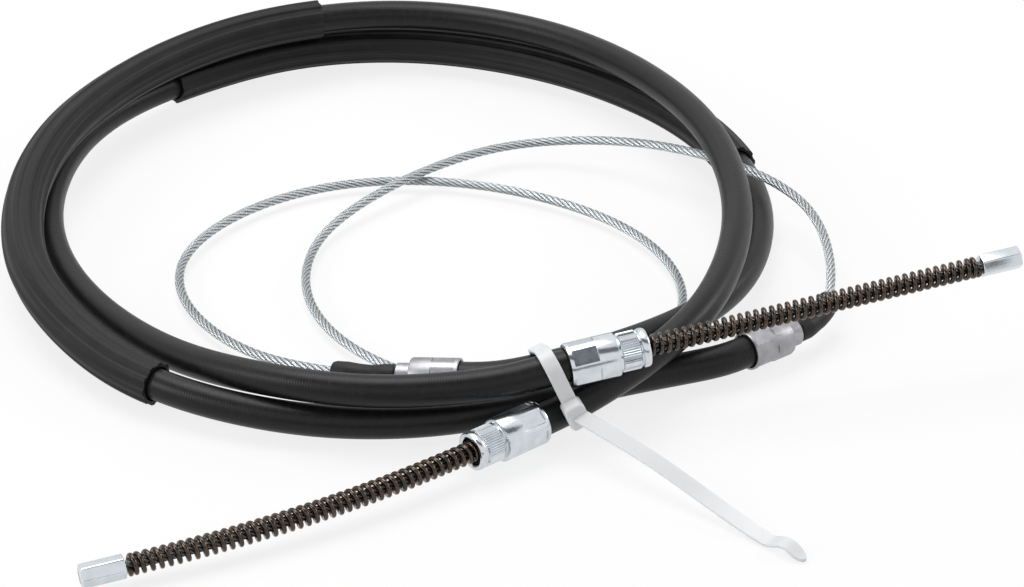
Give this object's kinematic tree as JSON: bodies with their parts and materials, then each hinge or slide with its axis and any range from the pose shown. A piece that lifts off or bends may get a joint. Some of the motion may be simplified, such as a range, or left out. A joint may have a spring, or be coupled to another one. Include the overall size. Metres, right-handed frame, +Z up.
{
  "type": "parking brake cable",
  "caption": "Coiled parking brake cable: black jacketed conduits with ribbed rubber sleeves, crimped zinc ferrules, return springs on the bare ends of a galvanised wire rope, and a nylon tie.",
  "frame": {"origin": "the middle of the coil's bounding box, on the surface it lies on", "axes": "+Z up from the surface the coil lies on, the thin way through the coil; +X to the right of the picture; +Y away from the camera, across the coil"},
  "size_m": [0.3556, 0.38, 0.0466],
  "materials": {
    "galvanised_rope": "bright galvanised steel wire rope",
    "conduit_jacket": "black plastic jacket with the winding showing as fine rings",
    "sleeve_rubber": "matte black rubber with ribs along it",
    "zinc_plated_steel": "bright zinc-plated steel",
    "boot_rubber": "black moulded rubber",
    "spring_steel": "dark bronze, oiled spring wire",
    "matte_aluminium": "matte cast-looking aluminium",
    "natural_nylon": "translucent natural nylon"
  },
  "bodies": {
    "root": {"inner_rope": "galvanised_rope", "conduit_a": "conduit_jacket", "conduit_b": "conduit_jacket", "protective_sleeve_a": "sleeve_rubber", "protective_sleeve_b": "sleeve_rubber", "brake_ferrule_a": "zinc_plated_steel", "brake_ferrule_b": "zinc_plated_steel", "nose_bush_a": "boot_rubber", "nose_bush_b": "boot_rubber", "return_spring_a": "spring_steel", "return_spring_b": "spring_steel", "end_tip_a": "zinc_plated_steel", "end_tip_b": "zinc_plated_steel", "outlet_ferrule_a": "matte_aluminium", "outlet_ferrule_b": "matte_aluminium", "boot_a": "boot_rubber", "boot_b": "boot_rubber", "cable_tie": "natural_nylon"}
  },
  "joints": []
}
